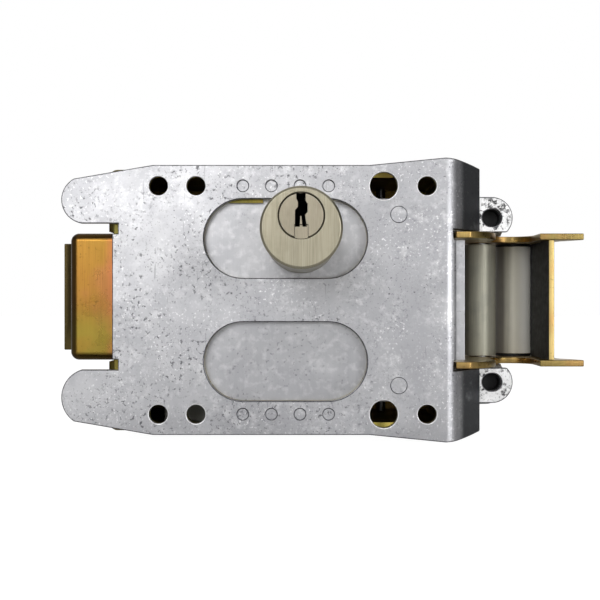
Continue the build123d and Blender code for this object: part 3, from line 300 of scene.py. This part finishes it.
finishes = {name: layeredMaterial(title, look) for name, title, look in (
    ("plateEdge", "shearedAndShadedZincEdge", plateEdgeLook),
    ("bracketEdge", "shearedAndShadedBracketEdge", bracketEdgeLook),
    ("rimHighlight", "paintedHighlightHoleRim", rimHighlightLook),
    # black and matt: painted shade on the web's face towards the bar and on the bar's neck
    ("paintedShade", "paintedShadeBlack", mouldedLook("#0d0c0b", "#060605", (0.6, 0.75))),
    ("plate", "galvanisedSheetSteel", plateLook),
    ("panel", "galvanisedPanelSteel", panelLook),
    ("bracket", "galvanisedBracketSteel", bracketLook),
    # the pan's film painted darker and more olive as painted shade, where it lies behind the
    # plate's holes and notch; a thinner, more golden film on the rest
    ("pan", "yellowZincPressedPan",
     yellowZincLook("#867939", "#666338", "#826a3c", 0.7, (0.34, 0.46))),
    ("cover", "yellowZincPressedCover",
     yellowZincLook("#b0904a", "#958f50", "#b0865a", 0.6, (0.3, 0.44))),
    ("claw", "yellowZincBlankedPlate",
     yellowZincLook("#ae9058", "#85804c", "#a57c50", 0.6, (0.26, 0.4))),
    ("handle", "yellowZincFoldedSteel", handleLook),
    ("web", "yellowZincBlankedWeb",
     yellowZincLook("#dcc080", "#a09a5c", "#c8985e", 0.3, (0.3, 0.42))),
    # oiled turned rollers look dull and a little green under their film
    ("roller", "turnedOiledSteel",
     drawnLook("#bcbaa8", "#97968b", (0.44, 0.56), 0.35, (1, 1, 0.03), 0.35, 0.4)),
    ("bar", "turnedOiledBar", barLook),
    # warm grey, with brush lines up and down the face
    ("nickel", "brushedSatinNickel",
     drawnLook("#a9a390", "#7d7763", (0.3, 0.42), 0.3, (1, 1, 0.025))),
    # the same metal a little darker, its lines shorter and finer
    ("plug", "turnedSatinNickel",
     drawnLook("#a59d8b", "#827b69", (0.28, 0.4), 0.25, (1, 1, 0.05))),
    # brown-black, hardly shining: painted shade deep in the keyway and in the ring round the plug
    ("keyway", "keywayPaintedShade",
     drawnLook("#2b2822", "#14120f", (0.5, 0.6), 0.4, (1, 1, 0.1), 0.6)),
    # bluish grey and shiny, with faint lines along the depth
    ("zinc", "brightZincSteel",
     drawnLook("#b9bbbd", "#85878a", (0.26, 0.4), 0.5, (1, 0.1, 1))),
    # dark and glossy, fine grinding lines
    ("ground", "groundHardenedSteel",
     drawnLook("#8d8f92", "#5d5f62", (0.24, 0.36), 0.3, (1, 1, 0.05))),
    # mid grey, mottled by the coiling tools
    ("wire", "drawnSpringWire", drawnLook("#9a9c9e", "#5c5e60", (0.28, 0.4), 0.3, (1, 1, 1))),
    # clean yellow metal with turning lines
    ("brass", "turnedBrass", drawnLook("#c8a45c", "#8d6d33", (0.26, 0.38), 0.3, (1, 1, 0.05))),
    # sooty black with a fine mottle
    ("blackNut", "blackPhosphatedSteel",
     drawnLook("#1b1b1c", "#0c0c0d", (0.5, 0.62), 0.5, (1, 1, 1), 0.4)),
    # soft black, matt
    ("rubber", "mouldedBlackRubber", mouldedLook("#1a1a1b", "#101011", (0.54, 0.66))),
    # creamy and waxy
    ("nylon", "mouldedNaturalNylon", mouldedLook("#ddd8c9", "#c9c3b0", (0.36, 0.5))),
    # pale grey with a fine spark-eroded grain
    ("terminal", "mouldedGreyPolyamide", mouldedLook("#bdbdb6", "#9d9d96", (0.4, 0.52))),
    # red-brown and glossy, with a coarser grain of tape
    ("winding", "varnishedWindingTape", mouldedLook("#8c4a2a", "#5f2d18", (0.34, 0.46), 0.6)),
)}
dressing = {
    "plate": ["base_plate", "plate_rivets"],
    "panel": ["mechanism_panel"],
    "bracket": ["hinge_bracket_upper", "hinge_bracket_lower"],
    "pan": ["lock_case"],
    "cover": ["outer_cover"],
    "claw": ["claw_plate_upper", "claw_plate_lower"],
    "web": ["claw_web"],
    "handle": ["release_handle"],
    "roller": ["claw_sleeve"],
    "bar": ["claw_bar"],
    "nickel": ["cylinder_body"],
    "plug": ["cylinder_plug"],
    "zinc": ["cover_screws", "pivot_pin", "bracket_rivets", "pawl_yoke", "solenoid_yoke",
             "solenoid_core", "solenoid_screws", "plunger_link", "cylinder_cam", "cam_screw",
             "spring_post"],
    "ground": ["pawl_nose", "link_pin", "pawl_axle", "plunger"],
    "wire": ["pivot_ring", "pawl_axle_rings", "claw_spring", "plunger_spring",
             "handle_spring", "plug_clip"],
    "brass": ["pivot_washers", "cylinder_nut", "terminal_screws"],
    "blackNut": ["ear_nuts"],
    "rubber": ["cable_grommet"],
    "nylon": ["solenoid_bobbin"],
    "terminal": ["terminal_block"],
    "winding": ["solenoid_coil"],
}
finishOf = {node: finish for finish, nodes in dressing.items() for node in nodes}
for node, finish in finishOf.items():
    mesh = frame["nodes"][node].data
    mesh.materials.clear()
    mesh.materials.append(finishes[finish])
bodies = frame["record"]["behaviour"]["bodies"]
bodyOf = {node: body for body, nodes in bodies.items() for node in nodes}
print("materials on", len(finishOf), "nodes")


# Pieces that take over a CAD node

def mergedCopy(node):
    bm = bmesh.new()
    bm.from_mesh(frame["nodes"][node].data)
    bmesh.ops.remove_doubles(bm, verts=bm.verts, dist=weldMm * mm)
    return bm


def standIn(bm, node, name, extras=()):
    # the finished mesh stands for the node; the extras are finishes beside the node's own
    mesh = bpy.data.meshes.new(name)
    for finish in (finishOf[node], *extras):
        mesh.materials.append(finishes[finish])
    bm.to_mesh(mesh)
    bm.free()
    piece = bpy.data.objects.new(name, mesh)
    bpy.context.scene.collection.objects.link(piece)
    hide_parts(node)
    return piece


# How wide the edges are broken, in mm, so that they catch the light as a tumbled part's do; the
# pan, pressed tight between plate, panel and cover, only has its bends smoothed
easing = {
    "base_plate": 0.35, "plate_rivets": 0.3, "hinge_bracket_upper": 0.35,
    "hinge_bracket_lower": 0.35, "mechanism_panel": 0.25, "lock_case": 0.0, "outer_cover": 0.25,
    "claw_plate_upper": 0.3, "claw_plate_lower": 0.3, "claw_web": 0.3, "claw_sleeve": 0.3,
    "release_handle": 0.3, "cylinder_body": 0.14, "cylinder_plug": 0.14, "cylinder_nut": 0.3,
    "cylinder_cam": 0.25, "cover_screws": 0.4, "bracket_rivets": 0.35, "pivot_pin": 0.25,
    "ear_nuts": 0.3, "cable_grommet": 0.4, "pawl_yoke": 0.25, "solenoid_yoke": 0.25,
    "terminal_block": 0.25,
}
# angles in degrees: less than flat is one face, more than sharp is broken, more than shaded
# stays a line; the weight keeps flat faces flat beside their broken edges
edging = {"flat": 0.8, "sharp": 32, "shaded": 50, "segments": 2, "weight": 100}
# what broken edges are finished in where it isn't the part's own finish: a darker line that is
# partly painted shade, a pale hole rim that is a painted highlight, and the keyway's painted
# shade round the plug
edgeFinish = {
    "base_plate": ("plateEdge", "rimHighlight"), "plate_rivets": ("plateEdge",),
    "hinge_bracket_upper": ("bracketEdge",), "hinge_bracket_lower": ("bracketEdge",),
    "cylinder_plug": ("keyway",),
}
# round holes of the base plate, x, z and radius in mm, above and below its middle
plateHoles = {
    "rim": 0.7,  # how far from a hole's edge still counts as its rim
    "punched": [(x, side * 39.5, radius) for side in (1, -1)
                for x, radius in ((-49.0, 3.25), (-36.0, 3.25), (29.0, 4.8), (44.0, 3.25))],
    "riveted": [(34.2, side * 29.6, 3.0) for side in (1, -1)],
}
# the cross driver's recess in the heads of the cover's screws, in mm; level is how straight up or
# down a face looks that is the top of a head
recess = {"arm": 1.75, "width": 0.85, "depth": 0.9, "headTop": 49.4, "level": 0.99}


def atRim(point, holes):
    x, _, z = point / mm
    return any(abs(hypot(x - holeX, z - holeZ) - radius) < plateHoles["rim"]
               for holeX, holeZ, radius in plateHoles[holes])


def crossRecess(bm):
    # each head's face is cut along the cross, and the cross is sunk
    half, arm = recess["width"] / 2, recess["arm"]
    heads = [face for face in bm.faces
             if abs(face.calc_center_median().z) > recess["headTop"] * mm
             and abs(face.normal.z) > recess["level"]]
    for head in heads:
        centre, up = head.calc_center_median(), head.normal.z
        faces = [head]
        for across in (Vector((1, 0, 0)), Vector((0, 1, 0))):
            for reach in (half, -half, arm, -arm):
                around = dict.fromkeys(
                    part for face in faces for part in (*face.verts, *face.edges, face))
                cut = bmesh.ops.bisect_plane(bm, geom=list(around), plane_no=across,
                                             plane_co=centre + across * reach * mm)
                faces = [part for part in cut["geom"] if isinstance(part, bmesh.types.BMFace)]
        cross = []
        for face in faces:
            near, far = sorted(abs(away) / mm for away in (face.calc_center_median() - centre).xy)
            if near < half and far < arm:
                cross.append(face)
        sunk = bmesh.ops.extrude_face_region(bm, geom=cross)["geom"]
        corners = [part for part in sunk if isinstance(part, bmesh.types.BMVert)]
        bmesh.ops.translate(bm, verts=corners, vec=(0, 0, -up * recess["depth"] * mm))
        bmesh.ops.delete(bm, geom=cross, context="FACES")
    bmesh.ops.recalc_face_normals(bm, faces=bm.faces)
    print("recesses cut", len(heads))


def eased(node, widthMm):
    bm = mergedCopy(node)
    bmesh.ops.dissolve_limit(bm, angle_limit=radians(edging["flat"]), verts=bm.verts,
                             edges=bm.edges)
    sharp = [edge for edge in bm.edges if edge.is_manifold and edge.is_convex
             and edge.calc_face_angle() > radians(edging["sharp"])]
    if node == "base_plate":  # the sheet stays tight round its rivets
        sharp = [edge for edge in sharp
                 if not atRim((edge.verts[0].co + edge.verts[1].co) / 2, "riveted")]
    broken = []
    if widthMm:
        broken = bmesh.ops.bevel(bm, geom=sharp, offset=widthMm * mm, offset_type="OFFSET",
                                 segments=edging["segments"], profile=0.5, affect="EDGES",
                                 clamp_overlap=False, material=-1)["faces"]
    if node == "cover_screws":
        crossRecess(bm)
    for face in bm.faces:
        face.smooth = True
    if node in edgeFinish:
        for face in broken:
            # broken faces at a round hole's rim take the painted highlight, the rest the darker
            # line of partly painted shade
            punched = node == "base_plate" and atRim(face.calc_center_median(), "punched")
            face.material_index = 2 if punched else 1
    piece = standIn(bm, node, node + ".eased", edgeFinish.get(node, ()))
    piece.data.set_sharp_from_angle(angle=radians(edging["shaded"]))
    weighted = piece.modifiers.new("flatFacesStayFlat", "WEIGHTED_NORMAL")
    weighted.weight = edging["weight"]
    weighted.keep_sharp = True
    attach(piece, bodyOf[node])


for node, widthMm in easing.items():
    eased(node, widthMm)
print("edges eased on", len(easing), "parts")


# The web's face towards the bar, black: painted shade
web = {"facing": -0.9}  # x of a face's direction that still counts as facing the bar


def shadeWebFace():
    mesh = bpy.data.objects["claw_web.eased"].data
    mesh.materials.append(finishes["paintedShade"])
    for face in mesh.polygons:
        if face.normal.x < web["facing"]:
            face.material_index = 1


shadeWebFace()
print("web shaded_black")


# The inside of the keyway, dark: painted shade in the deep slot
keyway = {"centreX": 0.4, "halfWidth": 2.05, "front": -49.7, "depth": 29.0,
          "top": 33.5, "foot": 22.0}


def darkenKeyway():
    inside = 0
    for face in bpy.data.objects["cylinder_plug.eased"].data.polygons:
        x, y, z = (value / mm for value in face.center)
        if (abs(x - keyway["centreX"]) < keyway["halfWidth"]
                and keyway["front"] < y < keyway["front"] + keyway["depth"]
                and keyway["foot"] < z < keyway["top"]):
            face.material_index = 1
            inside += 1
    print("keyway faces", inside)


darkenKeyway()


# The hook's bar, turned with a small broken edge at each shoulder and a neck outside it, black:
# painted shade in the slot by the plates
bar = {"at": (82.8, 50.0, 0.0), "radius": 7.0, "half": 20.5, "edge": 0.15,
       "neckRadius": 6.7, "neckTop": 21.4, "tenonRadius": 4.0, "reach": 23.8,
       "steps": 64, "shaded": 40}


def turnedBar():
    bm = bmesh.new()
    half = [(0.0, bar["reach"]), (bar["tenonRadius"], bar["reach"]),
            (bar["tenonRadius"], bar["neckTop"]), (bar["neckRadius"], bar["neckTop"]),
            (bar["neckRadius"], bar["half"]), (bar["radius"] - bar["edge"], bar["half"]),
            (bar["radius"], bar["half"] - bar["edge"])]
    outline = half + [(r, -z) for r, z in reversed(half)]
    corners = [bm.verts.new(Vector((r, 0, z)) * mm) for r, z in outline]
    for first, second in zip(corners, corners[1:]):
        bm.edges.new((first, second))
    bmesh.ops.spin(bm, geom=bm.verts[:] + bm.edges[:], cent=(0, 0, 0), axis=(0, 0, 1),
                   angle=radians(360), steps=bar["steps"], use_merge=True)
    bmesh.ops.remove_doubles(bm, verts=bm.verts, dist=weldMm * mm)
    bmesh.ops.recalc_face_normals(bm, faces=bm.faces)
    bmesh.ops.translate(bm, verts=bm.verts, vec=Vector(bar["at"]) * mm)
    for face in bm.faces:
        face.smooth = True
        # the neck's faces take the black of painted shade
        if bar["half"] < abs(face.calc_center_median().z) / mm < bar["neckTop"] + bar["edge"]:
            face.material_index = 1
    piece = standIn(bm, "claw_bar", "claw_bar.turned", ("paintedShade",))
    piece.data.set_sharp_from_angle(angle=radians(bar["shaded"]))
    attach(piece, bodyOf["claw_bar"])


turnedBar()
print("bar turned")


# Springs, which in the lock twist or stretch between the case and what they pull on; each here is
# a smooth-shaded copy of its CAD node that stays as it is
springs = {
    "claw_spring": {"to": "claw", "start": (69.0, 44.0, -36.59), "end": (69.0, 44.0, -27.4)},
    "plunger_spring": {"to": "plunger", "start": (-17.1, 24.0, 0.0), "end": (-5.1, 24.0, 0.0)},
    "handle_spring": {"to": "handle", "start": (-17.0, 14.0, -16.6), "end": (-57.0, 14.0, -16.6)},
}


def woundSpring(node, to, start, end):
    bm = mergedCopy(node)
    for face in bm.faces:
        face.smooth = True
    coil = standIn(bm, node, node + ".wound")
    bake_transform(coil)


for node, run in springs.items():
    woundSpring(node, **run)
print("springs wound")


# Floor, light and camera

stage = {"floorZ": cadBox[0][2], "size": 6.0, "colour": "#dedede", "shown": 0.84, "glow": 1.17}
# what the metal mirrors, by direction: the axis, where the light starts and is whole along it,
# and its strength
room = {
    "dim": 0.03, "mirrored": 0.03,
    "lights": [
        {"axis": 1, "from": -0.64, "to": -0.97, "strength": 0.56},  # broad window in front
        {"axis": 1, "from": 0.4, "to": 0.85, "strength": 0.75},  # white background behind
        {"axis": 2, "from": 0.45, "to": 0.85, "strength": 0.6},  # ceiling
        {"axis": 0, "from": -0.6, "to": -0.92, "strength": 0.35},  # left wall
    ],
}
view = {"back": 0.4, "lens": 69.42, "sensor": 36.0, "near": 0.01, "far": 20}
lamps = [
    {"name": "upperLeftSoftbox", "at": (-0.42, -1.3, 0.5), "size": 0.7, "power": 7.6},
    {"name": "rightSoftbox", "at": (0.75, -1.0, 0.1), "size": 0.5, "power": 7.0},
]


def lampAt(name, at, size, power):
    light = bpy.data.lights.new(name, "AREA")
    light.shape = "SQUARE"
    light.size = size
    light.energy = power
    lamp = bpy.data.objects.new(name, light)
    aim = (-Vector(at)).to_track_quat("-Z", "Y").to_matrix().to_4x4()
    lamp.matrix_world = Matrix.Translation(at) @ aim
    bpy.context.scene.collection.objects.link(lamp)


def shareSeen(tree):
    # the white background: whole to the eye and through glass, faint in what mirrors it
    path = addNode(tree, "ShaderNodeLightPath").outputs
    plain = addNode(tree, "ShaderNodeMath",
                    {0: path["Is Camera Ray"], 1: path["Is Transmission Ray"]},
                    operation="MAXIMUM")
    return addNode(tree, "ShaderNodeMath",
                   {0: path["Is Glossy Ray"], 1: room["mirrored"], 2: plain.outputs[0]},
                   operation="MULTIPLY_ADD").outputs[0]


def paleFloor():
    # matt white board: it shows as white and keeps a light shadow
    material, tree = newMaterial("mattWhiteBoard")
    share = addNode(tree, "ShaderNodeMath", {0: shareSeen(tree), 1: stage["shown"]},
                    operation="MULTIPLY").outputs[0]
    board = addNode(tree, "ShaderNodeBsdfDiffuse", {"Color": linear(stage["colour"])}).outputs[0]
    glow = addNode(tree, "ShaderNodeEmission",
                   {"Color": (1, 1, 1, 1), "Strength": stage["glow"]}).outputs[0]
    mixed = addNode(tree, "ShaderNodeMixShader", {0: share, 1: board, 2: glow}).outputs[0]
    addNode(tree, "ShaderNodeOutputMaterial", {"Surface": mixed})
    bm = bmesh.new()
    bmesh.ops.create_grid(bm, x_segments=2, y_segments=2, size=stage["size"] / 2)
    bmesh.ops.translate(bm, verts=bm.verts, vec=(0, 0, stage["floorZ"]))
    mesh = bpy.data.meshes.new("floor")
    bm.to_mesh(mesh)
    bm.free()
    mesh.materials.append(material)
    floor = bpy.data.objects.new("floor", mesh)
    bpy.context.scene.collection.objects.link(floor)


def studioWorld():
    # white to the eye; what the metal mirrors is soft light from four sides in a dim room
    world = bpy.data.worlds.new("studio")
    world.use_nodes = True
    tree = world.node_tree
    tree.nodes.clear()
    way = addNode(tree, "ShaderNodeTexCoord").outputs["Generated"]
    compass = addNode(tree, "ShaderNodeSeparateXYZ", {0: way}).outputs
    strength = shareSeen(tree)
    for light in room["lights"]:
        glow = addNode(tree, "ShaderNodeMapRange",
                       {0: compass[light["axis"]], 1: light["from"], 2: light["to"],
                        3: room["dim"], 4: light["strength"]},
                       interpolation_type="SMOOTHSTEP").outputs[0]
        strength = addNode(tree, "ShaderNodeMath", {0: glow, 1: strength},
                           operation="MAXIMUM").outputs[0]
    background = addNode(tree, "ShaderNodeBackground",
                         {"Color": (1, 1, 1, 1), "Strength": strength}).outputs[0]
    addNode(tree, "ShaderNodeOutputWorld", {"Surface": background})
    bpy.context.scene.world = world


def photoCamera():
    data = bpy.data.cameras.new("photoCamera")
    data.lens = view["lens"]
    data.sensor_width = view["sensor"]
    data.sensor_fit = "HORIZONTAL"
    data.clip_start = view["near"]
    data.clip_end = view["far"]
    camera = bpy.data.objects.new("photoCamera", data)
    camera.location = (0, -view["back"], 0)
    camera.rotation_euler = (radians(90), 0, 0)
    bpy.context.scene.collection.objects.link(camera)
    bpy.context.scene.camera = camera


paleFloor()
studioWorld()
for lamp in lamps:
    lampAt(**lamp)
photoCamera()
bpy.context.scene.view_settings.view_transform = "Standard"
print("stage, light and camera set")
